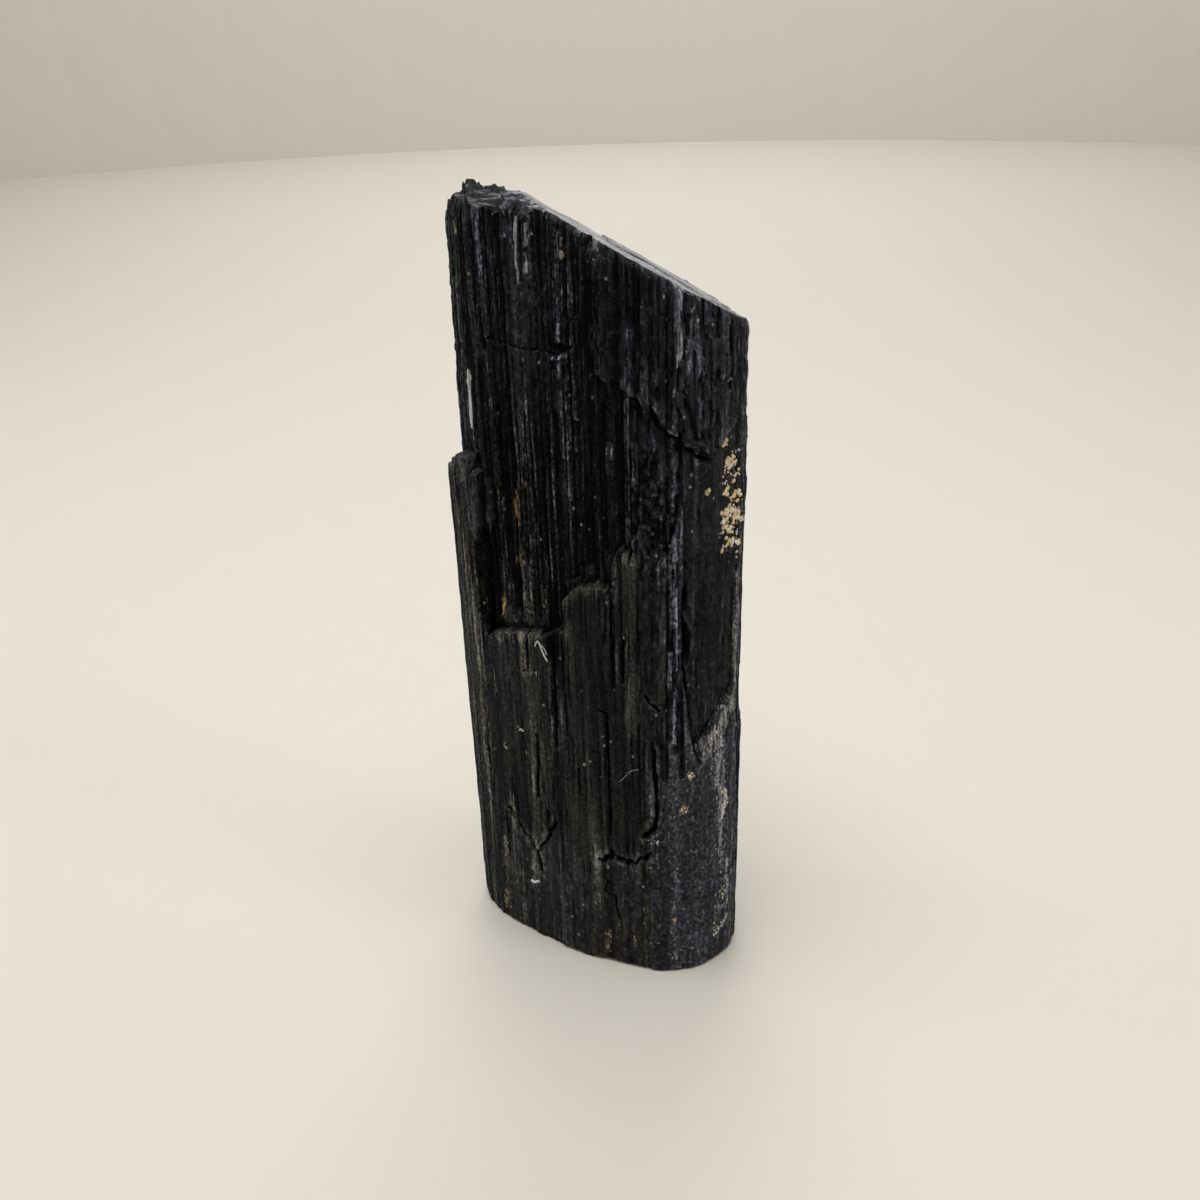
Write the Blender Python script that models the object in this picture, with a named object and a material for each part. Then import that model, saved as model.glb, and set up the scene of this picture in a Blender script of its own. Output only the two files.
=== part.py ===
"""Tourmaline crystal: one thick, black, striated prism of schorl, standing on its flat foot.

The prism is a bundle of columns grown together, so it is a single solid: a fluted outline, extruded to full
height, from which the lost outer columns, the broken hollows and the sloping end face are cut away.
Frame: metres, +Z up along the columns, the broad front face towards -Y, origin at the centre of the foot.
Places on the side are given as a distance along the outline and a height, both in millimetres. The distance
starts at the front left corner and runs counterclockwise, seen from above: first across the front face.
"""

import random
from collections import namedtuple

import bmesh
import bpy
from mathutils import Matrix, Vector

MM = 0.001

# Driving dimensions, in millimetres.
CREST_HEIGHT = 173.0  # the broken, nearly level crest at the left end
BLANK_HEIGHT = 182.0  # the uncut prism, before the top is cut
PAST_TOP = 190.0  # a loss that runs out through the top ends here
PAST_FOOT = -4.0  # a loss that runs out through the foot ends here
SLOPE_FACE_POINT = (1.2, -19.2, 172.4)  # where the sloping end face leaves the crest, on the front face
SLOPE_FACE_RISE = (-0.41, -0.41)  # how far that face rises for each millimetre along X and along Y
CREST_CORNER_POINT = (-27.0, -6.0, 171.0)  # on the broken left corner of the crest
CREST_CORNER_RISE = (0.42, 0.12)
ZERO_PAST_CORNER = 0.5  # distances along the outline count from this far past its first corner
OUTLINE_STEP = 0.8  # spacing of the points along the fluted outline
CURVE_SPANS = 60  # pieces of the smooth outline between two of its corners
PAST_SKIN = 6.0  # how far a cutter reaches out past the outline
WELD_DISTANCE = 0.01

# The columns that show on the surface.
FLUTE_SEED = 11
FLUTE_WIDTHS = (1.8, 4.6)
FLUTE_DEPTHS = (0.25, 0.7)

COLOUR = (0.014, 0.014, 0.017, 1.0)
ROUGHNESS = 0.38

# The prism's outline before fluting, counterclockwise from its front left corner, seen from above.
CORNERS = [
    (-31.0, -10.7),
    (-23.1, -16.5),
    (-11.3, -18.4),
    (1.2, -19.2),
    (11.2, -18.0),
    (19.2, -16.0),
    (25.2, -12.6),
    (29.9, -7.2),
    (31.8, -0.7),
    (30.8, 5.8),
    (25.2, 12.8),
    (14.2, 17.8),
    (1.2, 19.2),
    (-11.8, 17.8),
    (-23.8, 12.8),
    (-31.2, 4.8),
    (-32.7, -3.6),
]

# Outer columns that broke off: the span along the outline, the height of the loss's foot at both ends of the
# span, the height of its top at both ends, and the depth that is gone.
Loss = namedtuple("Loss", "name span foot top depth")
LOST_COLUMNS = [
    Loss("left_end_loss", (-22.0, 5.6), (114.0, 116.5), (PAST_TOP, PAST_TOP), 2.7),
    Loss("left_corner_loss", (5.2, 12.3), (119.5, 121.5), (PAST_TOP, PAST_TOP), 2.6),
    Loss("front_left_loss", (11.9, 33.8), (82.0, 88.5), (PAST_TOP, PAST_TOP), 2.3),
    Loss("front_middle_loss", (33.4, 45.6), (97.5, 101.5), (PAST_TOP, PAST_TOP), 2.4),
    Loss("right_fracture_loss", (45.2, 60.6), (107.0, 103.0), (142.0, 128.5), 2.1),
    Loss("right_face_loss_near", (60.2, 64.4), (80.0, 60.0), (128.0, 126.0), 1.6),
    Loss("right_face_loss_far", (64.0, 70.6), (61.0, 74.0), (126.5, 131.0), 1.6),
    Loss("foot_left_loss_near", (11.4, 23.2), (PAST_FOOT, PAST_FOOT), (37.5, 27.5), 0.7),
    Loss("foot_left_loss_far", (22.8, 29.7), (PAST_FOOT, PAST_FOOT), (27.0, 36.5), 0.7),
    Loss("foot_middle_loss", (41.1, 52.0), (PAST_FOOT, PAST_FOOT), (33.0, 31.5), 0.6),
    Loss("crest_front_step", (28.4, 37.1), (171.0, 169.5), (PAST_TOP, PAST_TOP), 4.2),
    Loss("crest_notch", (40.8, 43.6), (165.5, 166.5), (PAST_TOP, PAST_TOP), 4.6),
    Loss("back_left_loss", (118.0, 136.0), (66.0, 60.0), (PAST_TOP, PAST_TOP), 1.8),
    Loss("back_middle_loss", (106.2, 118.4), (104.0, 112.0), (PAST_TOP, PAST_TOP), 1.2),
    Loss("back_right_loss", (88.0, 106.5), (92.0, 84.0), (PAST_TOP, PAST_TOP), 1.5),
]

# Shell-shaped breaks: the centre along the outline and up the side, the radius of the shell, and its depth.
Hollow = namedtuple("Hollow", "name span height radius depth")
HOLLOWS = [
    Hollow("right_fracture", 62.5, 118.0, 26.0, 2.4),
    Hollow("right_dark_hollow", 65.0, 76.0, 30.0, 2.2),
    Hollow("back_fracture", 112.0, 40.0, 34.0, 2.0),
]


def catmull_rom(p0, p1, p2, p3, t):
    """A point on the smooth curve from p1 to p2, at t from 0 to 1."""
    return 0.5 * (
        2 * p1 + (p2 - p0) * t + (2 * p0 - 5 * p1 + 4 * p2 - p3) * t**2 + (3 * p1 - p0 - 3 * p2 + p3) * t**3
    )


def smooth_outline():
    """The smooth closed outline as (distance along it, point) pairs, and its whole length."""
    corners = [Vector(corner) for corner in CORNERS]
    points = []
    for i in range(len(corners)):
        near = [corners[(i + k) % len(corners)] for k in (-1, 0, 1, 2)]
        points += [catmull_rom(*near, step / CURVE_SPANS) for step in range(CURVE_SPANS)]
    points.append(points[0].copy())
    along = [0.0]
    for a, b in zip(points, points[1:]):
        along.append(along[-1] + (b - a).length)
    return list(zip(along, points)), along[-1]


PATH, PERIMETER = smooth_outline()


def on_outline(s):
    """The point on the smooth outline at distance s, and the outward direction there."""
    s = (s + ZERO_PAST_CORNER) % PERIMETER
    index = min(range(len(PATH) - 1), key=lambda i: abs(PATH[i][0] - s))
    (s0, a), (s1, b) = PATH[index], PATH[index + 1]
    along = (b - a).normalized()
    return a + (b - a) * ((s - s0) / (s1 - s0)), Vector((along.y, -along.x))


def make_flutes():
    """The columns around the outline: (start, end, how far the groove between two of them is sunk)."""
    rng = random.Random(FLUTE_SEED)
    flutes = []
    start = 0.0
    while start < PERIMETER:
        end = start + rng.uniform(*FLUTE_WIDTHS)
        if PERIMETER - end < FLUTE_WIDTHS[0]:
            end = PERIMETER
        flutes.append((start, end, rng.uniform(*FLUTE_DEPTHS)))
        start = end
    return flutes


FLUTES = make_flutes()


def flute_sink(s):
    """How far the surface lies inside the smooth outline at s: 0 on a column's crown, deepest in a groove."""
    s %= PERIMETER
    start, end, depth = next(flute for flute in FLUTES if flute[0] <= s <= flute[1])
    across = abs(2 * (s - start) / (end - start) - 1)
    return depth * across**3


def outline(s0, s1, sink=0.0, fluted=True):
    """Points along the outline from s0 to s1, each sunk inwards by `sink` and by its flute."""
    count = max(2, round((s1 - s0) / OUTLINE_STEP))
    points = []
    for step in range(count + 1):
        s = s0 + (s1 - s0) * step / count
        point, outward = on_outline(s)
        flute = flute_sink(s) if fluted else 0.0
        points.append(point - outward * (sink + flute))
    return points


def weld(mesh):
    """Joins a curve's loose caps to its sides and turns every face outwards."""
    shape = bmesh.new()
    shape.from_mesh(mesh)
    bmesh.ops.remove_doubles(shape, verts=shape.verts, dist=WELD_DISTANCE * MM)
    bmesh.ops.recalc_face_normals(shape, faces=shape.faces)
    shape.to_mesh(mesh)
    shape.free()


def prism(name, points, z0, z1, collection):
    """A closed outline in millimetres, extruded from z0 to z1, as a mesh object."""
    curve = bpy.data.curves.new(name, "CURVE")
    curve.dimensions = "2D"
    curve.fill_mode = "BOTH"
    curve.extrude = (z1 - z0) / 2 * MM
    spline = curve.splines.new("POLY")
    spline.points.add(len(points) - 1)
    for target, point in zip(spline.points, points):
        target.co = (point.x * MM, point.y * MM, 0.0, 1.0)
    spline.use_cyclic_u = True
    source = bpy.data.objects.new(name + "_curve", curve)
    source.location.z = (z0 + z1) / 2 * MM
    bpy.context.scene.collection.objects.link(source)

    graph = bpy.context.evaluated_depsgraph_get()
    mesh = bpy.data.meshes.new_from_object(source.evaluated_get(graph))
    mesh.name = name
    weld(mesh)
    mesh.shade_flat()
    made = bpy.data.objects.new(name, mesh)
    made.matrix_world = source.matrix_world
    collection.objects.link(made)
    bpy.data.objects.remove(source)
    return made


def as_cutter(obj):
    obj.hide_render = True
    obj.display_type = "WIRE"
    return obj


def mesh_object(name, shape, collection):
    """A new object from a bmesh, which is freed."""
    mesh = bpy.data.meshes.new(name)
    shape.to_mesh(mesh)
    shape.free()
    made = bpy.data.objects.new(name, mesh)
    collection.objects.link(made)
    return made


def loss_cutter(loss, collection):
    """The strip of skin that a loss takes off; its foot and top follow the slopes that the loss gives."""
    s0, s1 = loss.span
    inner = outline(s0, s1, sink=loss.depth)
    outer = outline(s0, s1, sink=-PAST_SKIN, fluted=False)
    middle_height = (sum(loss.foot) + sum(loss.top)) / 4
    cutter = as_cutter(prism(loss.name, inner[::-1] + outer, -1.0, 1.0, collection))

    start, _ = on_outline(s0)
    end, _ = on_outline(s1)
    chord = end - start
    for vertex in cutter.data.vertices:
        share = (vertex.co.xy / MM - start).dot(chord) / chord.length_squared
        heights = loss.foot if vertex.co.z < 0 else loss.top
        vertex.co.z = (heights[0] + (heights[1] - heights[0]) * share - middle_height) * MM
    cutter.location.z = middle_height * MM
    return cutter


def hollow_cutter(hollow, collection):
    """A ball that bites a shell-shaped break out of the side."""
    point, outward = on_outline(hollow.span)
    centre = point + outward * (hollow.radius - hollow.depth)
    ball = bmesh.new()
    bmesh.ops.create_icosphere(ball, subdivisions=4, radius=hollow.radius * MM)
    cutter = as_cutter(mesh_object(hollow.name, ball, collection))
    cutter.location = (centre.x * MM, centre.y * MM, hollow.height * MM)
    return cutter


def plane_cutter(name, point, rise, collection):
    """A large block whose underside is the plane through `point` with that rise along X and along Y."""
    side = 3 * BLANK_HEIGHT * MM
    block = bmesh.new()
    bmesh.ops.create_cube(block, size=side, matrix=Matrix.Translation((0.0, 0.0, side / 2)))
    cutter = as_cutter(mesh_object(name, block, collection))
    cutter.rotation_euler = Vector((-rise[0], -rise[1], 1.0)).to_track_quat("Z", "Y").to_euler()
    cutter.location = Vector(point) * MM
    return cutter


def cut(target, cutter):
    modifier = target.modifiers.new(cutter.name, "BOOLEAN")
    modifier.operation = "DIFFERENCE"
    modifier.solver = "EXACT"
    modifier.object = cutter


def tourmaline():
    """The black crystal's material."""
    material = bpy.data.materials.new("tourmaline")
    material.use_nodes = True
    shader = material.node_tree.nodes["Principled BSDF"]
    shader.inputs["Base Color"].default_value = COLOUR
    shader.inputs["Roughness"].default_value = ROUGHNESS
    shader.inputs["Metallic"].default_value = 0.0
    return material


def new_collection(name):
    collection = bpy.data.collections.new(name)
    bpy.context.scene.collection.children.link(collection)
    return collection


def main():
    for obj in list(bpy.data.objects):
        bpy.data.objects.remove(obj)
    parts = new_collection("tourmaline crystal")
    cutters = new_collection("cutters")

    blank = outline(0.0, PERIMETER)[:-1]
    crystal = prism("tourmaline_crystal", blank, 0.0, BLANK_HEIGHT, parts)
    crystal.data.materials.append(tourmaline())

    cut(crystal, plane_cutter("crest_cutter", (0.0, 0.0, CREST_HEIGHT), (0.0, 0.0), cutters))
    cut(crystal, plane_cutter("slope_cutter", SLOPE_FACE_POINT, SLOPE_FACE_RISE, cutters))
    cut(crystal, plane_cutter("crest_corner_cutter", CREST_CORNER_POINT, CREST_CORNER_RISE, cutters))
    for loss in LOST_COLUMNS:
        cut(crystal, loss_cutter(loss, cutters))
    for hollow in HOLLOWS:
        cut(crystal, hollow_cutter(hollow, cutters))


main()
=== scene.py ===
"""Looks of the tourmaline crystal: its striated and broken skin, its crust and specks, and a plain studio.

Lengths are in millimetres and are turned to metres when a mesh is made. A place on the side is a pair: the
distance along the outline, counterclockwise from the front left corner, and the height above the floor.
"""

import math
from collections import namedtuple
from itertools import product

import bmesh
import bpy
import numpy as np
from mathutils import Matrix, Vector


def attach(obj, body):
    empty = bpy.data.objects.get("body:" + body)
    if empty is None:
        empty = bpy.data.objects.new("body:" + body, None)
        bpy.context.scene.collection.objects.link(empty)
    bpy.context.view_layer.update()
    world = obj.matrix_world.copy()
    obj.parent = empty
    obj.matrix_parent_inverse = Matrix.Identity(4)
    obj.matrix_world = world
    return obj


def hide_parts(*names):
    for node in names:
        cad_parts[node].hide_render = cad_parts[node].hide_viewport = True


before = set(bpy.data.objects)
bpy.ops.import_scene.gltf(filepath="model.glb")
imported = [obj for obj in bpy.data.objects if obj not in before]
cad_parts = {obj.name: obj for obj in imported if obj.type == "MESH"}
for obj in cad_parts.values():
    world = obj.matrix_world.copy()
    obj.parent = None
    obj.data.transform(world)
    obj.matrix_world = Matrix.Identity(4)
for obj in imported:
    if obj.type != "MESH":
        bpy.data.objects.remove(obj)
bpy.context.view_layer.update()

MM = 0.001
NODE = "tourmaline_crystal"
BODY = "root"

# ---------------- driving dimensions

CREST_HEIGHT = 172.0  # of the crest's front edge
CREST_RISE = (0.0, -0.09)
FRONT_EDGE = 18.0  # how far the crest's front edge lies in front of the centre
CREST_CORNER_HEIGHT = 182.9  # of the broken corner's face, carried on to the centre
CREST_CORNER_RISE = (0.42, 0.12)
SLOPE_FACE_MIDDLE = 164.5  # height of the sloping end face over the centre
SLOPE_FACE_RISE = (-0.41, -0.425)
ZERO_PAST_CORNER = 0.5  # distances along the outline count from this far past its first corner
NORMAL_REACH = 0.6  # the outline's direction is taken over this length each way
SEAM = -26.0  # where the unrolled side starts, hidden on the back left
SIDE_COLUMNS = 960
SIDE_ROWS = 560
CAP_RINGS = 64
FOOT_RINGS = (0.95, 0.6, 0.25)  # their sizes as shares of the edge
TRIANGLES = 190_000
CRYSTAL_CREASE = math.radians(38)  # edges sharper than this are not smoothed
GRAIN_CREASE = math.radians(25)

# The prism's outline before its columns, counterclockwise from its front left corner, seen from above.
CORNERS = [
    (-31.8, -11.2), (-23.1, -16.5), (-11.3, -18.4), (1.2, -19.2), (11.2, -18), (19.2, -16),
    (25.2, -12.6), (29.9, -7.2), (31.8, -0.7), (30.8, 5.8), (25.2, 12.8), (14.2, 17.8),
    (1.2, 19.2), (-11.8, 17.8), (-23.8, 12.8), (-31.2, 4.8), (-32.7, -3.6),
]
CURVE_SPANS = 60

# ---------------- random fields

# Each field and each random trait of a column has a seed of its own: the last whole number of its call.
HASH_SIZE = 4096
HASH_SEED = 41
HASH_TABLE = np.random.default_rng(HASH_SEED).uniform(-1.0, 1.0, HASH_SIZE)
HASH_PRIMES = (73856093, 19349663, 83492791)
SEED_STEP = 1_000_003


def hashed(*cells, seed):
    """A fixed random number from -1 to 1 for each tuple of whole numbers."""
    mixed = np.int64(seed * SEED_STEP)
    for cell, prime in zip(cells, HASH_PRIMES):
        mixed = mixed ^ (cell.astype(np.int64) * prime)
    mixed = mixed ^ (mixed >> 13)
    return HASH_TABLE[mixed % HASH_SIZE]


def noise(points, size, seed):
    """A smooth random field from -1 to 1 with features about `size` across, one size or one for each axis."""
    scaled = points / np.asarray(size, float)
    cell = np.floor(scaled).astype(np.int64)
    part = scaled - cell
    part = part * part * (3 - 2 * part)
    total = 0.0
    for corner in product((0, 1), repeat=3):
        weight = 1.0
        for axis, far in enumerate(corner):
            weight = weight * (part[..., axis] if far else 1 - part[..., axis])
        total = total + weight * hashed(*(cell[..., axis] + corner[axis] for axis in range(3)), seed=seed)
    return total


def ramp(distance, width):
    """0 well below zero, 1 well above it, and a smooth step of that width between."""
    t = np.clip(distance / width + 0.5, 0.0, 1.0)
    return t * t * (3 - 2 * t)


def band(value, low, high, soft):
    """1 between two limits and 0 outside, with soft edges."""
    return ramp(value - low, soft) * ramp(high - value, soft)


def read_line(line, s):
    """The height of a polyline of (s, z) points at s."""
    return np.interp(s, [p[0] for p in line], [p[1] for p in line])


# ---------------- the outline


def smooth_outline():
    """A smooth closed curve through the corners: the distances along it, and its points."""
    corners = np.array(CORNERS)
    t = np.linspace(0.0, 1.0, CURVE_SPANS, endpoint=False)[:, None]
    pieces = []
    for i in range(len(corners)):
        p0, p1, p2, p3 = (corners[(i + k) % len(corners)] for k in (-1, 0, 1, 2))
        curve = 2 * p1 + (p2 - p0) * t
        curve = curve + (2 * p0 - 5 * p1 + 4 * p2 - p3) * t**2
        curve = curve + (3 * p1 - p0 - 3 * p2 + p3) * t**3
        pieces.append(0.5 * curve)
    points = np.vstack(pieces + [corners[:1]])
    steps = np.linalg.norm(np.diff(points, axis=0), axis=1)
    return np.concatenate([[0.0], np.cumsum(steps)]), points


PATH_S, PATH_POINTS = smooth_outline()
PERIMETER = PATH_S[-1]


def on_outline(s):
    """Points on the smooth outline at distances s, and the outward normals there."""
    around = np.mod(s + ZERO_PAST_CORNER, PERIMETER)
    before, after, here = (
        np.stack([np.interp(np.mod(around + shift, PERIMETER), PATH_S, axis) for axis in PATH_POINTS.T], -1)
        for shift in (-NORMAL_REACH, NORMAL_REACH, 0.0)
    )
    along = after - before
    along = along / np.linalg.norm(along, axis=-1, keepdims=True)
    return here, np.stack([along[..., 1], -along[..., 0]], -1)


# ---------------- columns of the bundle


FAMILY_STEP = 31  # keeps the seeds of two families of columns apart
LENGTH_VARIETY = 0.6  # how much the stretches of one column are longer or shorter than another's
START_VARIETY = 50  # how many stretches the columns are shifted against each other


class Columns:
    """A family of columns side by side around the outline."""

    def __init__(self, edges, widths, seed):
        """`edges` are the borders that are given. The rest, up to a full turn, get widths in the given range.
        """
        rng = np.random.default_rng(seed)
        borders = [] if edges else [SEAM]
        at = SEAM
        while edges and at < edges[0] - widths[0]:
            borders.append(at)
            at += rng.uniform(*widths)
        borders += edges
        end = SEAM + PERIMETER
        while borders[-1] < end - widths[1]:
            borders.append(borders[-1] + rng.uniform(*widths))
        self.borders = np.array(borders + [end])
        self.count = len(self.borders) - 1
        self.seed = seed

    def locate(self, s):
        """Each place's column number, its position across the column from -1 to 1, and the column's width."""
        around = SEAM + np.mod(s - SEAM, PERIMETER)
        number = np.clip(np.searchsorted(self.borders, around, side="right") - 1, 0, self.count - 1)
        low, high = self.borders[number], self.borders[number + 1]
        return number, 2 * (around - low) / (high - low) - 1, high - low

    def each(self, number, seed):
        """A random number from -1 to 1 for each column."""
        return hashed(number, seed=self.seed * FAMILY_STEP + seed)

    def stretches(self, number, z, length, seed, slant=0.0):
        """A random number from -1 to 1 for each stretch, about `length` long, and the place in it, too."""
        own_length = length * (1 + LENGTH_VARIETY * self.each(number, seed + 1))
        at = (z + slant) / own_length + START_VARIETY * self.each(number, seed + 2)
        stretch = np.floor(at)
        return hashed(number, stretch, seed=self.seed * FAMILY_STEP + seed), 2 * (at - stretch) - 1

    def segments(self, number, z, length, seed, slant=0.0):
        """A random number from -1 to 1 for each stretch of a column."""
        return self.stretches(number, z, length, seed, slant)[0]


# Borders between the broad columns that show on the front, from the left corner to the right end.
FRONT_BORDERS = [
    -5.9, -2, 0.4, 2.3, 5.3, 9.7, 12.2, 15.3, 18.3, 21.9, 24.4, 29.8, 31.3, 33.8, 36.7, 41.5, 43.7,
    47.6, 51.1, 54.2, 57.2, 60.3, 63.9, 67.1, 70.4, 73.8,
]
BUNDLES = Columns(FRONT_BORDERS, (2.4, 6.4), 3)
RIBS = Columns([], (0.7, 2.1), 4)
THREADS = Columns([], (0.34, 0.8), 5)

# ---------------- what broke off and where

# A stretch of side that lost its outer columns: the span along the outline, its lower and upper borders as
# (s, z) lines, the depth that is gone, how ragged its borders are, and how softly each end of the span fades.
Loss = namedtuple("Loss", "span foot top depth ragged soft", defaults=[(0.35, 0.35)])
SKY = [(0, 400)]  # a border above the top
DEEP = [(0, -50)]  # and one below the foot
LOSSES = [Loss(*row) for row in (
    ((-27, 5.3), [(-27, 113), (-6, 116.5), (-2, 117), (0, 115.5), (2.2, 118.5), (5.2, 120)], SKY, 3.5, 0.7),
    ((5.3, 9.7), [(5.3, 120.6), (9.7, 120.6)], SKY, 3.2, 0.5),
    ((9.7, 12.2), [(9.7, 92), (10.4, 112), (10.8, 118), (12.2, 118)], SKY, 2.4, 0.6),
    ((12.2, 33.8),
     [(12, 79.4), (13.5, 81), (16, 82.6), (19.5, 83.8), (25.5, 84.8), (28, 85), (30.3, 85.9), (33.8, 87.6)],
     SKY, 2.3, 0.35),
    ((33.8, 45.4),
     [(33.8, 94), (34.9, 95.6), (35.8, 97.3), (37.6, 98.5), (41.4, 99.4), (44.3, 99), (45.4, 97.4)],
     [(33, 400), (42.9, 400), (43.2, 143), (45.4, 141)], 2.4, 0.25),
    ((45.4, 51.1),
     [(45.4, 104.5), (48, 107), (51.1, 108)], [(45.4, 141), (50, 139.6), (51.1, 138.8)], 2.1, 2),
    ((51.1, 60.2),
     [(51, 112), (54, 106), (57, 108), (60.2, 116)],
     [(51, 138.8), (53, 137.3), (55.5, 134.3), (58, 132), (60.2, 130.4)], 2, 2.4),
    ((60.2, 73.5),
     [(60.2, 82), (61.2, 74), (62.2, 66), (63.3, 59.5), (64.5, 59), (65.2, 64), (68.4, 67.9), (73.1, 71.7),
      (73.8, 78)],
     [(60, 130.4), (63.4, 127.6), (66, 126.3), (70.6, 131), (74, 133)], 1.6, 0.3, (0.35, 5)),
    ((24.5, 29.3),
     DEEP, [(23.3, 25.7), (25.8, 29.6), (27.1, 31.6), (28.2, 33.7), (29.8, 37)], 0.5, 0.2, (3, 3.5)),
    ((41.5, 53), DEEP, [(41.5, 31), (43.5, 33), (45, 31.7), (49, 31.5), (53, 34)], 0.35, 0.9, (2, 2)),
    # The hidden sides.
    ((76, 88), [(76, 60), (88, 66)], SKY, 0.6, 1),
    ((88, 106.4), [(88, 92), (97, 86), (106.4, 84)], SKY, 1.5, 1.2),
    ((106.4, 118.2), [(106.4, 104), (118.2, 112)], SKY, 1.2, 1.5),
    ((118.2, 136), [(118.2, 66), (136, 60)], SKY, 1.8, 0.9),
    ((96, 112), DEEP, [(96, 26), (104, 22), (112, 31)], 0.8, 0.8),
)]

# How the skin looks in a stretch of side: the strength of the ribs, of the short broken splinters and of the
# grain; then how light its stone is, how much that varies from streak to streak, and how warm its colour is.
# Lightness and warmth are partly the stone's own and partly painted reflection: lighter and warmer low down,
# where the lit floor is mirrored, and darker and cooler up high, where a dark room is mirrored.
Zone = namedtuple("Zone", "s z soft ribs splinters grain tone vary warm")
USUAL_SKIN = (0.7, 0.15, 0.1, 0.025, 0.8, 0.2)
ZONES = [Zone(*row) for row in (
    ((9, 45), (84, 131), 4, 2.1, 0.2, 0.1, 0.0052, 1.9, 0.3),
    ((12, 45), (131, 175), 6, 0.9, 0.4, 0.2, 0.0026, 2.1, -1),
    ((45, 76), (138, 175), 4, 0.9, 0.5, 0.25, 0.0035, 1.9, -1),
    # Painted sheen: the light blue-grey rib high up at s 57 to 62.
    ((57, 62), (146, 175), 1, 0.6, 0.2, 0.1, 0.03, 1, -0.8),
    ((62, 76), (138, 175), 2, 1.2, 0.8, 0.3, 0.026, 1.4, -0.8),
    ((34, 51), (102, 141), 3, 1.1, 0.4, 0.2, 0.0042, 1.8, -0.2),
    ((42, 56), (142, 175), 3, 0.7, 0.4, 0.3, 0.0018, 1.7, -1),
    # Painted shade: the darkest stretch, in the shadowed step by s 40 to 43.
    ((39.5, 43.5), (128, 162), 2, 0.9, 0.3, 0.3, 0.0012, 1.6, -0.3),
    ((12, 30), (30, 86), 2, 0.3, 0.06, 0.05, 0.018, 0.85, 0.9),
    ((34, 43.6), (33, 101), 1, 0.25, 0.1, 0.12, 0.019, 0.7, 0.9),
    ((43.8, 51), (33, 106), 1.5, 0.4, 0.15, 0.1, 0.02, 0.7, 0.7),
    ((49.5, 56.5), (101, 131), 2.5, 0.3, 1.6, 1, 0.0042, 2.5, 0),
    ((49, 61), (127, 141), 2, 0.5, 0.8, 0.6, 0.008, 1.4, -0.7),
    ((60, 66), (128, 141), 3, 0.5, 0.7, 0.5, 0.013, 1.2, -0.5),
    ((51, 56.5), (60, 102), 2, 0.5, 0.5, 0.5, 0.022, 1.2, 0.1),
    # The ridge: its cool blue-grey tint and strong streaks are a painted sheen.
    ((56.5, 60.3), (60, 125), 1, 0.9, 0.9, 0.5, 0.011, 1.9, -0.7),
    ((60.3, 73.5), (64, 129), 1, 0.12, 0.3, 0.45, 0.012, 1.5, -0.4),
    ((59, 71), (140, 158), 3, 0.5, 1.2, 0.5, 0.018, 1.5, -0.8),
    ((53, 76), (-5, 60), 3, 0, 0.04, 1, 0.039, 1.65, -0.6),
    ((-12, 9.6), (-5, 116), 1, 0.6, 0.1, 0.08, 0.034, 0.8, 0.8),
    ((-12, 14), (119, 175), 1, 1.3, 0.3, 0.2, 0.016, 1.8, 0),
    ((8.5, 15), (107, 119), 1.2, 0.3, 0.4, 0.9, 0.022, 1, 0.2),
    ((11, 53), (-5, 28), 5, 0.2, 0.25, 0.6, 0.033, 1.05, 0.5),
    ((84, 100), (30, 80), 6, 0.3, 0.1, 0.2, 0.02, 0.7, 0.5),
    ((104, 122), (20, 62), 5, 0.15, 0.5, 0.7, 0.035, 0.7, -0.2),
    ((118, 138), (90, 130), 8, 1.1, 0.2, 0.1, 0.008, 1.3, -0.4),
    ((76, 104), (110, 150), 8, 0.9, 0.7, 0.3, 0.012, 1.2, -0.8),
)]
ZONE_JUMP = 5.0  # how far a zone's upper and lower borders jump from rib to rib
SPREAD_OF_UNIFORM = math.sqrt(3)  # brings random numbers from -1 to 1 to a standard deviation of one
BASE_SINK = 0.22  # how far the skin lies inside the outline before its relief

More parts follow.
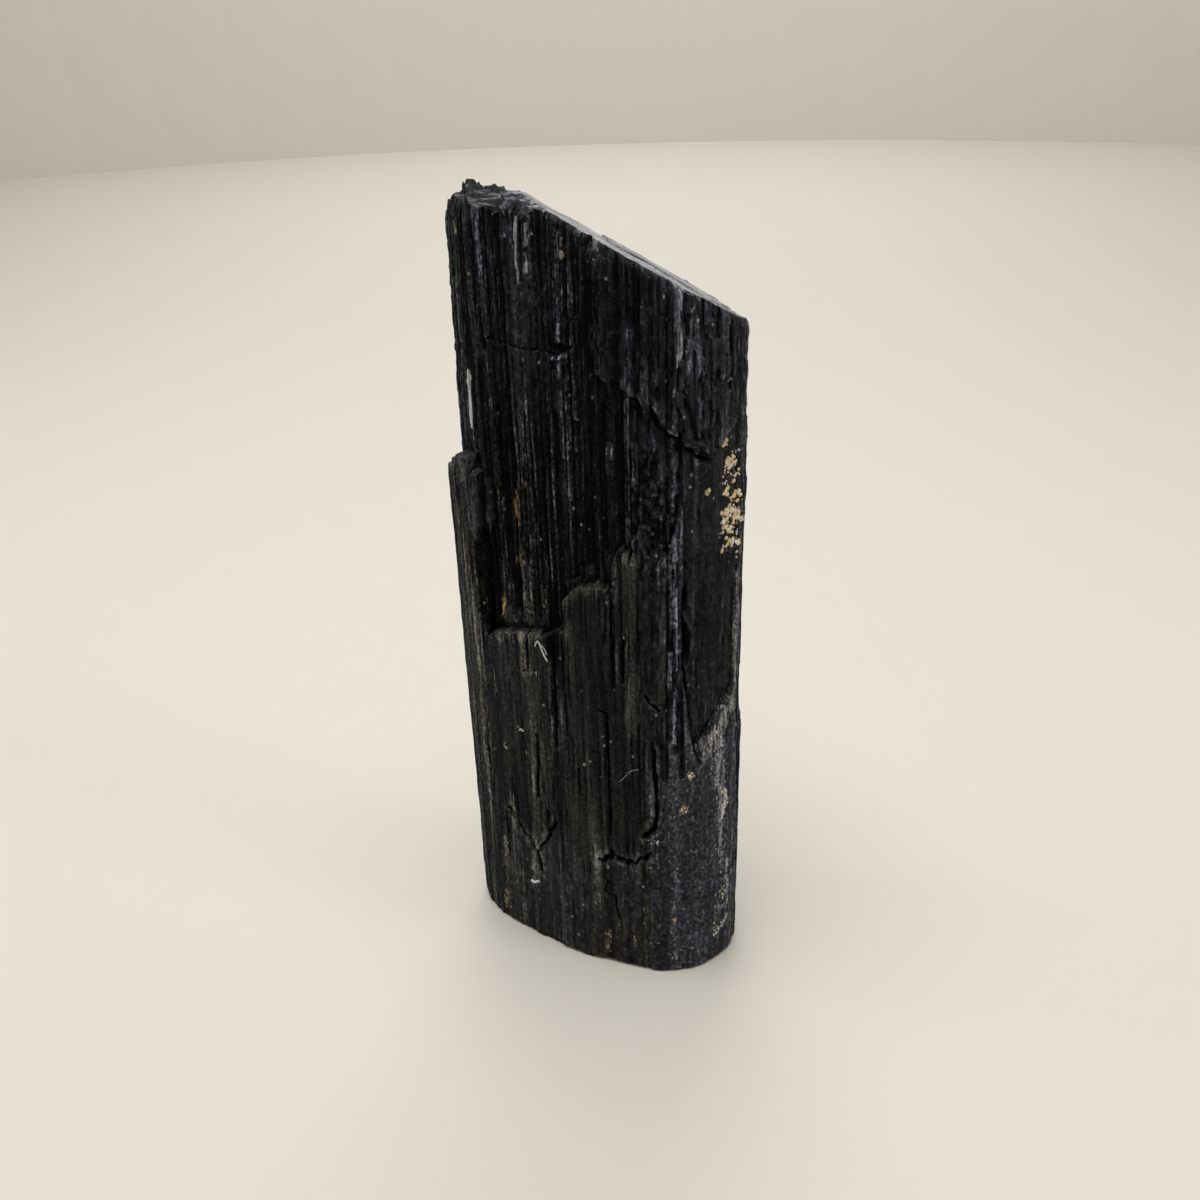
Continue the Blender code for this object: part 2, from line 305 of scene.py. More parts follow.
# Cracks and grooves: a line of (s, z) points, its width and its depth. A negative depth is a raised edge.
Crack = namedtuple("Crack", "line width depth")
CRACKS = [Crack(*row) for row in (
    ([(9.8, 43), (9.7, 60), (9.8, 94)], 0.42, 1.7),
    ([(15.5, 35.2), (16.7, 33.7), (17.9, 32.3), (19.1, 30.2), (20.8, 28.6), (21.9, 27.2), (23.1, 25.8)],
     0.62, 2.6),
    ([(23.3, 25.6), (24.2, 26.4), (25.4, 29.3), (26.6, 30.2), (27.4, 33.2), (28.6, 34.6), (30, 37.2)],
     0.38, 1.3),
    ([(27.5, 39.3), (27.5, 31.5)], 0.34, 1),
    ([(23.1, 25.9), (23.3, 24.4), (23.7, 22.6), (24.2, 20.3)], 0.55, 2),
    ([(24.4, 75.6), (24.4, 84.8)], 0.24, 1.1),
    ([(22.4, 75), (26.5, 75.7)], 0.3, 0.9),
    ([(31, 58), (31.1, 74), (31.2, 89)], 0.7, 1.3),
    ([(24.6, 42), (25.4, 52), (25.5, 59)], 0.45, 1.3),
    ([(40.6, 30.2), (41.9, 29.8), (42.4, 31.9), (43.3, 31.2), (43.9, 33.4), (44.9, 32.4), (45.1, 30.8),
      (46.4, 31.9), (47.2, 30.7), (48.5, 31.9), (49.6, 31), (50.4, 33), (51.6, 32.4), (52.9, 34.3)],
     0.6, 1.7),
    ([(36.5, 47), (36.6, 54)], 0.22, 0.6),
    ([(17.2, 146.9), (20, 145.8), (24, 145.9), (28, 145.7), (31, 146.2), (34, 145.8), (37.6, 147.6)],
     0.24, 0.7),
    ([(32.6, 144.6), (35, 144.8), (37.2, 146.2)], 0.3, -0.35),
    ([(16.4, 167.5), (16.9, 170.6), (18.2, 171.6), (19.4, 170.6), (19.8, 167)], 0.3, -0.32),
    ([(20.2, 166.5), (20.8, 170), (22.4, 171), (23.8, 170), (24.3, 166.5)], 0.3, -0.32),
    ([(25.2, 166), (25.8, 168.8), (27, 169.8), (28.2, 168.8), (28.6, 165)], 0.28, -0.28),
    ([(43.8, 38), (43.7, 56), (43.7, 70)], 0.24, 1),
    ([(41.9, 70.5), (43.6, 70)], 0.24, 0.8),
    ([(47.5, 78), (47.6, 88)], 0.32, 1),
    ([(53.9, 40.8), (54.4, 43.3), (54.6, 47), (54.3, 52), (53.8, 62)], 0.5, 1.5),
    ([(54.3, 41.8), (52.8, 40.2), (51.6, 39)], 0.7, 1.5),
    ([(52, 75.2), (55, 72)], 0.34, 0.8),
    ([(50, 139.4), (53, 137.2), (55.5, 134.2), (58, 132), (60.7, 130), (63.4, 127.6), (66, 126.4)],
     0.7, 0.9),
    ([(50.8, 137.2), (53, 135.2), (55.5, 132.2), (58, 130.2), (60.7, 128.4)], 1.3, 0.6),
    ([(59.2, 139.7), (59.9, 137.2), (60.6, 134.8), (61.2, 131.6)], 0.5, -0.65),
    ([(60.6, 138), (61.4, 135), (62.5, 131.2), (63.6, 128.7), (65.2, 126.5)], 0.8, 0.6),
    ([(68.2, 138.8), (66.4, 135.2), (65.4, 131.9)], 0.3, -0.7),
    ([(60.5, 94.5), (60.8, 99.5)], 0.4, 1.1),
    ([(60.2, 81), (60.8, 90.5)], 0.55, 1.3),
    ([(60.8, 92.5), (62.4, 89.5), (63.4, 85.5), (62.9, 80)], 0.4, -0.45),
    ([(60.4, 80), (61.4, 70), (62.8, 61), (64, 58.6)], 0.35, 0.9),
    ([(33.9, 62), (33.8, 97)], 0.3, 0.7),
    ([(45.3, 76), (45.3, 99.5)], 0.3, 0.7),
    ([(41.5, 25.4), (42.7, 24.3), (41.8, 21), (43, 19.8), (44.4, 20.6), (44.6, 16.2), (45.4, 12.8)],
     0.34, 0.9),
)]

# Small dark pits: the centre, the half width and half height, and the depth.
Pit = namedtuple("Pit", "s z across up depth")
PITS = [Pit(*row) for row in (
    (15.5, 145, 0.9, 1.3, 1.7),
    (34.8, 146.9, 1.3, 0.8, 1.4),
    (11, 119.8, 1.1, 2.1, 2),
    (42, 167.4, 1.3, 2.2, 2.9),
    (61, 97, 0.5, 2.4, 1.1),
    (61.2, 86, 0.6, 3.6, 1.4),
    (30.6, 59, 0.6, 2, 0.8),
    (112, 40, 6.5, 9, 1.6),
)]

# Where the lower edge of the foot is chipped: the span along the outline and the height of the chip.
FOOT_CHIPS = [((31, 36), 0.9), ((38.5, 46), 1.1), ((48, 50.5), 0.8), ((12, 15), 0.5), ((62, 66), 0.4)]


# Pale places: a line of (s, z) points, its half width, how much of it is covered, and its colour, from
# white (-1) through silver (0) to gold (1). A streak is broken up into threads, a crust into grains.
Mark = namedtuple("Mark", "line width cover gold")
STREAKS = [Mark(*row) for row in (
    ([(25.5, 158), (26.1, 170)], 0.5, 0.74, 0),
    ([(27.9, 160), (28.4, 168.5)], 0.45, 0.74, 0),
    ([(22.2, 171.6), (22.1, 174.6)], 0.6, 0.8, 0),
    ([(35.5, 157), (35.8, 168)], 0.8, 0.48, 0),
    ([(38.7, 163), (38.9, 169)], 0.8, 0.48, 0),
    # Painted sheen on the light blue-grey rib at s 59.
    ([(59.3, 145), (59.2, 161)], 0.5, 0.74, 0),
    # A painted highlight: the white strip down the left edge.
    ([(9.1, 127.5), (9.5, 131), (9.8, 138.5)], 1, 1.4, -1),
    ([(21.9, 108), (21.6, 116)], 0.8, 0.66, 1),
    ([(21.5, 97), (21.4, 103)], 0.7, 0.66, 1),
    ([(16, 86), (16.1, 90)], 0.8, 0.68, 1),
    ([(5.6, 94), (7.4, 103)], 0.9, 0.54, 0.9),
    ([(8, 107), (8, 111)], 0.7, 0.52, 0.9),
    ([(11.5, 90), (11.5, 93)], 0.6, 0.55, 0.9),
    ([(13.6, 149), (13.4, 159)], 0.7, 0.5, 0.9),
    ([(12.3, 162), (12.2, 169)], 0.6, 0.6, 0.9),
    ([(8.6, 165.4), (8.4, 168.4)], 0.6, 0.66, 0.9),
    ([(16.2, 53), (14.6, 61), (13.6, 70), (13, 78)], 0.9, 0.44, 0.8),
    ([(70.4, 50), (69.6, 56), (69.4, 66)], 1.8, 0.56, 0),
    ([(70.2, 28), (70, 40), (69.4, 50), (69, 57)], 0.7, 0.68, 0),
    ([(66, 61), (69, 65), (73, 69)], 2.4, 0.64, 0.2),
    ([(74.6, 72), (75.2, 101)], 1.2, 0.5, 0.2),
    ([(7.9, 38.5), (8.4, 36.6), (10.9, 34.2), (12.4, 32.2)], 0.5, 0.72, 0),
)]
CRUSTS = [Mark(*row) for row in (
    ([(70.6, 40.5), (71.7, 48)], 0.7, 0.74, -0.8),
    ([(73.4, 13), (73, 28)], 0.5, 0.74, -0.6),
    ([(73.2, 10.5), (71, 8.6), (69.3, 7.4)], 1.2, 0.68, -0.6),
    ([(69, 58), (69.6, 66)], 1.4, 0.62, -0.6),
    ([(69, 10), (72.5, 22), (70.5, 37), (69.5, 47), (67.5, 57)], 1.6, 0.58, 0.2),
    ([(71, 18), (71.6, 46), (70.6, 60)], 1.2, 0.52, -0.4),
    ([(66, 60), (69, 63), (73.5, 68)], 2.6, 0.5, 0.3),
    ([(74.4, 74), (75, 101)], 0.8, 0.55, 0.3),
    ([(73.3, 106), (73.6, 116)], 2.2, 0.5, 0.6),
    ([(72.4, 118), (72.2, 130)], 1.6, 0.48, 0.6),
    # Painted highlights: the three small white glints at the right edge.
    ([(76.2, 126.6), (76.3, 127.8)], 0.4, 0.86, -1),
    ([(74.4, 125.7), (74.8, 126.8)], 0.45, 0.88, -1),
    ([(75.8, 123.2), (75.8, 124.7)], 0.35, 0.86, -1),
    ([(13.4, 19.5), (13.6, 25.5)], 0.9, 0.58, 0.45),
    ([(12, 4), (12.6, 9)], 1, 0.6, 0.8),
    ([(42, 3), (42.4, 9)], 1, 0.6, 0.6),
    ([(57.9, 11), (58.2, 16)], 0.7, 0.62, 0.9),
    ([(49, 7.5), (49, 9.5)], 0.6, 0.65, 0.9),
    ([(45, 12), (45, 14)], 0.6, 0.6, 0.8),
    ([(50.5, 37.4), (56, 38.4)], 1.3, 0.5, 0.2),
    ([(21.5, 75), (27, 75.4)], 0.9, 0.62, 0.3),
    ([(20.6, 59.2), (21.4, 58.9)], 0.7, 0.85, 1),
    ([(22.1, 52.4), (22.3, 53.6)], 0.6, 0.75, 1),
    ([(15.7, 52.2), (15.9, 53.4)], 0.7, 0.8, 1),
    ([(15, 60.6), (15, 62)], 0.6, 0.7, 1),
    ([(61.7, 54.9), (62.1, 55.6)], 0.9, 0.7, 0.5),
    ([(60.1, 46.2), (60.5, 47)], 1, 0.66, 0.9),
    ([(38, 55), (38.2, 55.6)], 0.6, 0.7, 0.8),
    ([(65.9, 120), (66.3, 120.3)], 0.7, 1, 1),
    ([(36.2, 164.1), (36.5, 164.7)], 0.7, 1, 0.5),
)]

LEDGE_SOFTNESS = 0.6  # the height over which a broken ledge runs out
EDGE_WANDER = 0.25  # how far the sides of a broken stretch waver
SHALLOWEST = 0.02  # the skin stays at least this far inside the outline


def near_line(line, reach, s, z):
    """Which places lie in a polyline's bounding box, widened by `reach`."""
    low_s, low_z = np.min(line, axis=0) - reach
    high_s, high_z = np.max(line, axis=0) + reach
    return (s > low_s) & (s < high_s) & (z > low_z) & (z < high_z)


def loss_shares(loss, s, z, ribs, uneven):
    """The share of a loss's depth that is gone at each place, with borders that step from rib to rib, and
    how near the place is to the broken ledge at its upper or lower border."""
    number = ribs[0]
    step = loss.ragged * (RIBS.each(number, 11) + 0.5 * RIBS.each(number // 3, 12)) + 0.45 * uneven
    foot = read_line(loss.foot, s) + step
    top = read_line(loss.top, s) + step
    wander = EDGE_WANDER * RIBS.segments(number, z, 9.0, 13)
    inside = ramp(s + wander - loss.span[0], loss.soft[0]) * ramp(loss.span[1] - s - wander, loss.soft[1])
    gone = ramp(z - foot, LEDGE_SOFTNESS) * ramp(top - z, LEDGE_SOFTNESS)
    ledge = 4 * gone * (1 - gone)
    return inside * (gone + 0.12 * ledge * uneven), inside * ledge


def line_distance(line, s, z):
    """The distance of each place from a polyline."""
    nearest = np.full(s.shape, np.inf)
    for (s0, z0), (s1, z1) in zip(line, line[1:]):
        ds, dz = s1 - s0, z1 - z0
        share = np.clip(((s - s0) * ds + (z - z0) * dz) / (ds * ds + dz * dz), 0.0, 1.0)
        nearest = np.minimum(nearest, np.hypot(s - s0 - share * ds, z - z0 - share * dz))
    return nearest


def wavering(line, reach, s, z, places, *wobbles):
    """Which places are near a line, those places, and their distances from it as it wavers along s and z."""
    near = near_line(line, reach, s, z)
    here = places[near]
    shifts = [amount * noise(here, size, seed) for amount, size, seed in wobbles]
    return near, here, line_distance(line, s[near] + shifts[0], z[near] + shifts[1])


def crack_sink(crack, s, z, places):
    """The ragged groove of a crack, worked out only near it."""
    wobbles = (0.22, 1.6, 71), (0.55, 2.0, 72)
    near, here, distance = wavering(crack.line, 4 * crack.width + 1.0, s, z, places, *wobbles)
    width = crack.width * (0.85 + 0.5 * noise(here, 2.4, 73))
    depth = crack.depth * np.clip(1.0 + 0.6 * noise(here, 3.2, 74), 0.55, 1.2)
    steepness = 4 if crack.depth > 0 else 2
    sink = np.zeros(s.shape)
    sink[near] = depth * np.exp(-((distance / width) ** steepness))
    return sink


def mark_fields(marks, s, z, places):
    """How much of the surface the marks cover at each place, and how golden they are there."""
    cover, gold = np.zeros(s.shape), np.zeros(s.shape)
    wobbles = (0.3, 1.8, 75), (0.8, 2.5, 76)
    for mark in marks:
        near, _, distance = wavering(mark.line, 2 * mark.width + 1.0, s, z, places, *wobbles)
        strength = mark.cover * ramp(1.2 * mark.width - distance, 1.2 * mark.width)
        gold[near] = np.where(strength > cover[near], mark.gold, gold[near])
        cover[near] = np.maximum(cover[near], strength)
    return cover, gold


def pit_sink(pit, s, z):
    """The smooth bowl of a pit."""
    away = ((s - pit.s) / pit.across) ** 2 + ((z - pit.z) / pit.up) ** 2
    return pit.depth * np.exp(-(away**1.5))


def skin(s, z, places):
    """How the skin looks at each place: the fields that a zone gives after its place and softness."""
    s_here = s + 1.1 * noise(places, 5.0, 21)
    z_here = z + 3.0 * noise(places, 7.0, 22) + ZONE_JUMP * RIBS.each(RIBS.locate(s)[0], 15)
    strengths = [np.full(s.shape, value) for value in USUAL_SKIN]
    for zone in ZONES:
        inside = band(s_here, *zone.s, min(zone.soft, 1.5)) * band(z_here, *zone.z, zone.soft)
        for strength, target in zip(strengths, zone[3:]):
            strength += (target - strength) * inside
    return dict(zip(Zone._fields[3:], strengths))


# How strong each kind of relief is where its share is one, in millimetres. A step or a tilt goes both ways.
BUNDLE_STEP, BUNDLE_GROOVE = 0.22, 0.5
RIB_GROOVE, RIB_TILT, RIB_STEP = 0.30, 0.12, 0.12
SCAR_DEPTH, SCAR_RARITY = 0.45, 0.55
THREAD_STEP, THREAD_GROOVE, THREAD_BREAK = 0.08, 0.10, 0.05
RIB_CHIP, THREAD_CHIP = 0.34, 0.24
COARSE_GRAIN, FINE_GRAIN = 0.18, 0.22
SWELL = 0.16


def broken_skin(s, z, places, ribs, look):
    """How deep the losses go at each place; where a ledge broke, the looks get grainier and darker."""
    sink = np.full(s.shape, BASE_SINK)
    uneven, broken = noise(places, 1.3, 14), np.zeros(s.shape)
    for loss in LOSSES:
        share, ledge = loss_shares(loss, s, z, ribs, uneven)
        sink = sink + loss.depth * share
        broken = np.maximum(broken, ledge * min(1.0, loss.depth))
    look["grain"] = np.maximum(look["grain"], 0.9 * broken)
    look["splinters"] = np.maximum(look["splinters"], 0.5 * broken)
    look["tone"] = look["tone"] * (1 - 0.5 * broken)
    return sink


def side_relief(s, z, places):
    """How far the skin lies inside the smooth outline, and masks for the material."""
    bent = s + 0.45 * noise(places, (16, 16, 60), 1) + 0.14 * noise(places, (4, 4, 14), 2)
    bundles, ribs, threads = (family.locate(bent) for family in (BUNDLES, RIBS, THREADS))
    look = skin(s, z, places)
    sink = broken_skin(s, z, places, ribs, look)
    ribbed, splintered, grainy = look["ribs"], look["splinters"], look["grain"]

    number, across, _ = bundles
    sink += (0.5 * ribbed + 0.15) * BUNDLE_STEP * BUNDLES.segments(number, z, 120.0, 1)
    groove = BUNDLE_GROOVE + 0.3 * BUNDLES.each(number, 2)
    sink += (0.05 + 0.65 * ribbed) * groove * np.abs(across) ** 4

    number, across, _ = ribs
    sharpness = 2.6 + 1.4 * RIBS.each(number, 3)
    groove = RIB_GROOVE + 0.24 * RIBS.each(number, 4)
    sink += ribbed * groove * np.abs(across) ** sharpness
    sink += ribbed * RIB_TILT * RIBS.each(number, 5) * across
    sink += (0.2 + 0.8 * ribbed) * RIB_STEP * RIBS.segments(number, z, 70.0, 6)
    scar, along = RIBS.stretches(number, z, 15.0, 8)
    inside = np.maximum(0.0, 1 - along**6 - across**2)
    sink += (0.2 + ribbed) * SCAR_DEPTH * np.maximum(0.0, scar - SCAR_RARITY) * inside
    slant = 2.5 * noise(places, 9.0, 31)
    sink += splintered * RIB_CHIP * RIBS.segments(number, z, 3.4, 9, slant)

    number, across, _ = threads
    groove = THREAD_STEP * THREADS.each(number, 1) + THREAD_GROOVE * np.abs(across) ** 3
    sink += (0.25 + 0.75 * ribbed) * groove
    sink += splintered * THREAD_CHIP * THREADS.segments(number, z, 2.2, 2, slant)
    sink += (0.2 + ribbed) * THREAD_BREAK * THREADS.segments(number, z, 26.0, 3)

    sink += grainy * (COARSE_GRAIN * noise(places, 1.5, 41) + FINE_GRAIN * noise(places, 0.75, 42))
    sink += (0.05 + 0.25 * grainy) * noise(places, 4.0, 43)
    sink += SWELL * noise(places, (11, 11, 30), 44)
    for crack in CRACKS:
        sink += crack_sink(crack, s, z, places)
    for pit in PITS:
        sink += pit_sink(pit, s, z)

    look["column"] = SPREAD_OF_UNIFORM * (
        0.60 * BUNDLES.segments(bundles[0], z, 70.0, 4)
        + 0.75 * RIBS.segments(ribs[0], z, 45.0, 14)
        + 0.45 * THREADS.segments(threads[0], z, 24.0, 4)
    )
    look["streak"], streak_gold = mark_fields(STREAKS, s, z, places)
    look["crust"], crust_gold = mark_fields(CRUSTS, s, z, places)
    look["gold"] = np.where(look["streak"] > look["crust"], streak_gold, crust_gold)
    return np.maximum(sink, SHALLOWEST), look


# ---------------- the top


# The broken crest is a crowd of column ends; each cell of the crowd has its own height.
CELL_SPACING = 3.1
CELL_SEED = 8
CELL_JITTER = 1.2
CELL_RISE = 0.9
GAP_DEPTH, GAP_WIDTH = 0.8, 0.35
STUB_EDGE = 0.6
# The raised plate on the sloping face, as seen from above.
PLATE_CORNERS = [(2.5, 1.0), (-12.0, 22.0), (20.0, 22.0), (27.5, -1.5)]
PLATE_LIFT = 0.5
PLATE_EDGE = 0.3


def crest_cells():
    """Centres of the columns that end in the crest, in a shaken grid, and how far each stands up."""
    rng = np.random.default_rng(CELL_SEED)
    grid = np.arange(-36, 37, CELL_SPACING)
    centres = np.array(list(product(grid, grid)))
    centres = centres + rng.uniform(-CELL_JITTER, CELL_JITTER, centres.shape)
    return centres, rng.uniform(-1.0, 1.0, len(centres))


CELL_CENTRES, CELL_HEIGHTS = crest_cells()

# Column ends that stand out or are missing: the centre, the radius and the height change.
STUBS = [
    ((-28.2, -0.1), 2.5, 2.2), ((-26.8, 4.0), 1.7, 1.8), ((-25.4, 5.8), 1.1, 0.9), ((-28.4, -4.3), 1.4, 0.9),
    ((-28.4, -6.7), 1.5, -0.9), ((-28.0, -9.3), 2.3, -2.2), ((-20.5, -13.0), 2.0, -0.6),
    ((-6.0, -16.0), 1.6, -1.2), ((6.2, -17.0), 1.4, -0.9), ((9.2, -16.8), 1.7, -3.6),
    ((24.4, -12.0), 1.2, -0.7),
]


def in_polygon(xy, corners, soft):
    """1 inside a convex polygon given clockwise, 0 outside, with a border of that width."""
    inside = 1.0
    for (x0, y0), (x1, y1) in zip(corners, corners[1:] + corners[:1]):
        length = math.hypot(x1 - x0, y1 - y0)
        distance = ((xy[..., 0] - x0) * (y1 - y0) - (xy[..., 1] - y0) * (x1 - x0)) / length
        inside = inside * ramp(distance, soft)
    return inside


def face_height(xy, middle, rise):
    """The height of a flat face over each point of the plan, from its height over the centre and its rise."""
    return middle + rise[0] * xy[..., 0] + rise[1] * xy[..., 1]


def slope_height(xy):
    """The height of the sloping end face."""
    return face_height(xy, SLOPE_FACE_MIDDLE, SLOPE_FACE_RISE)


def crest_height(xy):
    """The height of the crest, with its broken corner, before its column ends."""
    level = face_height(xy, CREST_HEIGHT + FRONT_EDGE * CREST_RISE[1], CREST_RISE)
    return np.minimum(level, face_height(xy, CREST_CORNER_HEIGHT, CREST_CORNER_RISE))


def top_smooth(xy):
    """The height of the top before its small relief."""
    return np.minimum(slope_height(xy), crest_height(xy))


def stub_lift(xy):
    """How far the tallest of the stubs rises at each point, and how deep the deepest gap is."""
    raised = lowered = np.zeros(xy.shape[:-1])
    for centre, radius, lift in STUBS:
        change = lift * ramp(radius - np.linalg.norm(xy - np.array(centre), axis=-1), STUB_EDGE)
        raised, lowered = np.maximum(raised, change), np.minimum(lowered, change)
    return raised, lowered


def top_height(xy):
    """The height of the broken top over each point of the plan."""
    away = np.linalg.norm(xy[..., None, :] - CELL_CENTRES, axis=-1)
    order = np.argsort(away, axis=-1)[..., :2]
    first = np.take_along_axis(away, order[..., :1], -1)[..., 0]
    second = np.take_along_axis(away, order[..., 1:], -1)[..., 0]
    height = CELL_HEIGHTS[order[..., 0]]
    flat = np.concatenate([xy, np.zeros(xy.shape[:-1] + (1,))], -1)

    gap = np.exp(-((second - first) / GAP_WIDTH) ** 2)
    crest = crest_height(xy) + CELL_RISE * height - GAP_DEPTH * gap
    crest = crest + 0.25 * noise(flat, 1.3, 51) + 0.3 * noise(flat, 3.0, 52)
    raised, lowered = stub_lift(xy)
    crest = crest + raised + lowered

    slope = slope_height(xy) + PLATE_LIFT * in_polygon(xy, PLATE_CORNERS, PLATE_EDGE)
    slope = slope + 0.16 * noise(flat, (16, 1.2, 1), 53) + 0.08 * noise(flat, (6, 0.5, 1), 54)
    slope = slope + 0.12 * noise(flat, 6.0, 55)
    return np.minimum(crest, slope + lowered)


# ---------------- the crystal's mesh


COLUMN_LIFT = 0.25  # how high single columns may end over the floor
CHIP_EDGE = 1.6
FOOT_FADE = 2.5  # the height over which the lift of the foot dies out
TOP_FADE = 8.0  # the depth over which the relief of the top dies out in the side
HOLLOW_REACH = (9, 4)  # columns and rows around a place that it is compared with


def foot_lift(s, places):
    """How high the lower edge of the skin stands over the floor."""
    number = BUNDLES.locate(s)[0]
    lift = COLUMN_LIFT * np.maximum(0.0, BUNDLES.each(number, 21))
    for span, height in FOOT_CHIPS:
        lift = np.maximum(lift, height * band(s, *span, CHIP_EDGE))
    return np.maximum(0.0, lift + 0.12 * noise(places, 1.5, 61))


def local_mean(field, reaches):
    """The mean of a field of the unrolled side over a block that reaches that many columns and rows out."""
    for axis, (reach, mode) in enumerate(zip(reaches, ("wrap", "edge"))):
        pads = [(0, 0), (0, 0)]
        pads[axis] = (reach + 1, reach)
        sums = np.cumsum(np.pad(field, pads, mode=mode), axis=axis)
        count = field.shape[axis]
        width = 2 * reach + 1
        high = np.take(sums, np.arange(width, width + count), axis=axis)
        low = np.take(sums, np.arange(count), axis=axis)
        field = (high - low) / width
    return field


USUAL_RIM_DEPTH = 2.2
RIM_CHIPPING = 0.45
FOOT_ROUNDING = 0.3
EDGE_REACH = 0.5  # how far from an edge its chipping and rounding die out


class Side:
    """The unrolled side of the crystal as a grid of points: columns along the outline, rows up the height."""

    def __init__(self):
        self.s = SEAM + np.arange(SIDE_COLUMNS) * PERIMETER / SIDE_COLUMNS
        outline, outward = on_outline(self.s)
        rim = self.rim(outline, outward)
        full = top_smooth(rim)
        share = np.linspace(0.0, 1.0, SIDE_ROWS + 1)
        height = share * full[:, None]

        flat = np.concatenate([outline, np.zeros((SIDE_COLUMNS, 1))], -1)
        lift = foot_lift(self.s, flat)[:, None] * np.exp(-height / FOOT_FADE)
        uneven = (top_height(rim) - full)[:, None] * np.exp(-(full[:, None] - height) / TOP_FADE)
        self.z = height + lift + uneven
        wide = np.broadcast_to(self.s[:, None], self.z.shape)
        plan = [np.broadcast_to(outline[:, k, None], self.z.shape) for k in (0, 1)]
        places = np.stack([*plan, self.z], -1)

        sink, self.look = side_relief(wide, self.z, places)
        below_rim = self.z[:, -1:] - self.z
        chipped = RIM_CHIPPING * (1 + 0.9 * noise(places, 2.0, 62))
        sink = sink + chipped * np.exp(-below_rim / EDGE_REACH)
        sink = sink + FOOT_ROUNDING * np.exp(-self.z / EDGE_REACH)
        self.look["hollow"] = sink - local_mean(sink, HOLLOW_REACH)
        self.xy = outline[:, None, :] - outward[:, None, :] * sink[..., None]
        self.outward = outward

    def rim(self, outline, outward):
        """The plan of the upper end of the side."""
        full = top_smooth(outline - USUAL_RIM_DEPTH * outward)
        sink, _ = side_relief(self.s, full, np.concatenate([outline, full[:, None]], -1))
        return outline - outward * (sink + RIM_CHIPPING)[:, None]

    def point(self, s, z):
        """The point of the skin nearest to a place on the side, and the outward direction there."""
        column = int(round((s - SEAM) / PERIMETER * SIDE_COLUMNS)) % SIDE_COLUMNS
        row = int(np.argmin(np.abs(self.z[column] - z)))
        x, y = self.xy[column, row]
        nx, ny = self.outward[column]
        return Vector((x, y, self.z[column, row])), Vector((nx, ny, 0.0))


# The looks of the ends: on the sloping face, on the broken crest and under the foot. Those left out are 0.
# The sloping face's light grey tone is a painted sheen on black stone seen at a grazing angle.
LOOKS = ("ribs", "grain", "hollow", "tone", "vary", "warm", "column", "streak", "crust", "gold")
END_LOOKS = {
    "grain": (0.2, 0.6, 0.5),
    "tone": (0.13, 0.012, 0.03),
    "vary": (0.5, 1.2, 0.7),
    "warm": (0.0, -0.6, 0.5),
    "streak": (0.0, 0.3, 0.0),
    "crust": (0.0, 0.0, 0.2),
    "gold": (0.0, 0.3, 0.5),
}


def ring_faces(lower, upper):
    """Quads between two rings of point numbers, facing out when the second ring is above or inside."""
    return np.stack([lower, np.roll(lower, -1), np.roll(upper, -1), upper], -1)


BAKE_SPAN = 222.0  # millimetres across the bake's square
BAKE_MARGIN = 1.0
TOP_CORNER = (34.0, 198.0)  # where the plan's origin falls in the square, for the top and for the foot
FOOT_CORNER = (106.0, 198.0)
ON_SIDE, ON_TOP, ON_FOOT = range(3)


def map_for_baking(mesh, points, side_count, cap_count):
    """The UV map OFBake: the side unrolled along its outline, and the top and the foot flat above it."""
    corners = np.empty(len(mesh.loops), np.int32)
    mesh.loops.foreach_get("vertex_index", corners)
    sizes = np.empty(len(mesh.polygons), np.int32)
    mesh.polygons.foreach_get("loop_total", sizes)
    starts = np.concatenate([[0], np.cumsum(sizes)[:-1]])

    kinds = np.full(len(points), ON_FOOT)
    kinds[:side_count] = ON_SIDE
    kinds[side_count : side_count + cap_count] = ON_TOP
    kinds[-2] = ON_TOP  # the middle of the top comes just before the middle of the foot
    kind = np.repeat(np.maximum.reduceat(kinds[corners], starts), sizes)
    column = corners % SIDE_COLUMNS
    first, last = np.minimum.reduceat(column, starts), np.maximum.reduceat(column, starts)
    wraps = np.repeat((first == 0) & (last == SIDE_COLUMNS - 1), sizes)
    column = np.where(wraps & (column == 0), SIDE_COLUMNS, column)

    x, y, z = points[corners].T
    unrolled = np.stack([BAKE_MARGIN + column * PERIMETER / SIDE_COLUMNS, BAKE_MARGIN + z], -1)
    flat = np.stack([x, y], -1) + np.where(kind[:, None] == ON_TOP, TOP_CORNER, FOOT_CORNER)
    places = np.where(kind[:, None] == ON_SIDE, unrolled, flat) / BAKE_SPAN
    layer = mesh.uv_layers.new(name="OFBake")
    layer.data.foreach_set("uv", places.astype(np.float32).ravel())


